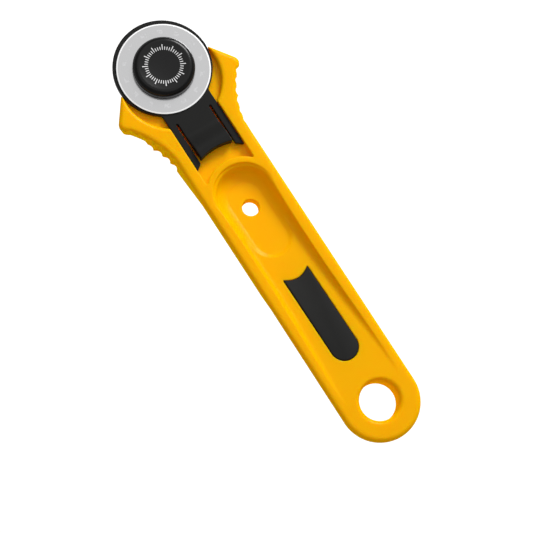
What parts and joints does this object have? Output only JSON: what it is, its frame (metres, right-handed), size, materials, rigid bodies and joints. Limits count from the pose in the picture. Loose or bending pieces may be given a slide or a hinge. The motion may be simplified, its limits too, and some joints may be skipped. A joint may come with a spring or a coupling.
{
  "type": "rotary cutter",
  "caption": "Small rotary cutter: flat moulded handle with thumb dish and hanging hole, round blade on a bolt, sliding blade guard, rear nut.",
  "frame": {"origin": "centre of the bounding box in plan, on the level of the rear nut's outer face, which is the lowest point with the front upwards", "axes": "+Y along the tool towards the blade, +Z out of its front along the pivot bolt, +X to the right across the handle"},
  "size_m": [0.0414, 0.144, 0.0148],
  "materials": {
    "handle_plastic": "satin-gloss moulded yellow",
    "insert_plastic": "fine matt black",
    "guard_plastic": "satin moulded black",
    "blade_steel": "fine ground, satin",
    "cap_plastic": "gloss black with a printed ring of white ticks",
    "bolt_steel": "zinc plated",
    "spring_steel": "bright spring steel",
    "insert_brass": "turned",
    "nut_plastic": "satin moulded black"
  },
  "bodies": {
    "handle": {"handle_body": "handle_plastic", "grip_insert": "insert_plastic", "pivot_cap": "cap_plastic", "pivot_bolt": "bolt_steel", "flat_washer": "bolt_steel", "wave_washer": "spring_steel"},
    "guard": {"blade_guard": "guard_plastic"},
    "blade": {"cutting_blade": "blade_steel"},
    "nut_carrier": {"nut_insert": "insert_brass"},
    "nut": {"rear_nut": "nut_plastic"}
  },
  "joints": [
    {"name": "guard_slide", "type": "slide", "parent": "handle", "child": "guard", "axis": [0, -1, 0], "range_m": [0, 0.0045]},
    {"name": "blade_spin", "type": "hinge", "parent": "handle", "child": "blade", "pos_m": [0, 0.05657, 0.01159], "axis": [0, 0, 1], "continuous": true},
    {"name": "nut_advance", "type": "slide", "parent": "handle", "child": "nut_carrier", "axis": [0, 0, -1], "range_m": [0, 0.0032]},
    {"name": "nut_turn", "type": "hinge", "parent": "nut_carrier", "child": "nut", "pos_m": [0, 0.05657, 0.002], "axis": [0, 0, -1], "range_deg": [0, 1440]}
  ],
  "couplings": [
    {"joint": "nut_turn", "follows": "nut_advance", "rad_per_m": 7854}
  ]
}
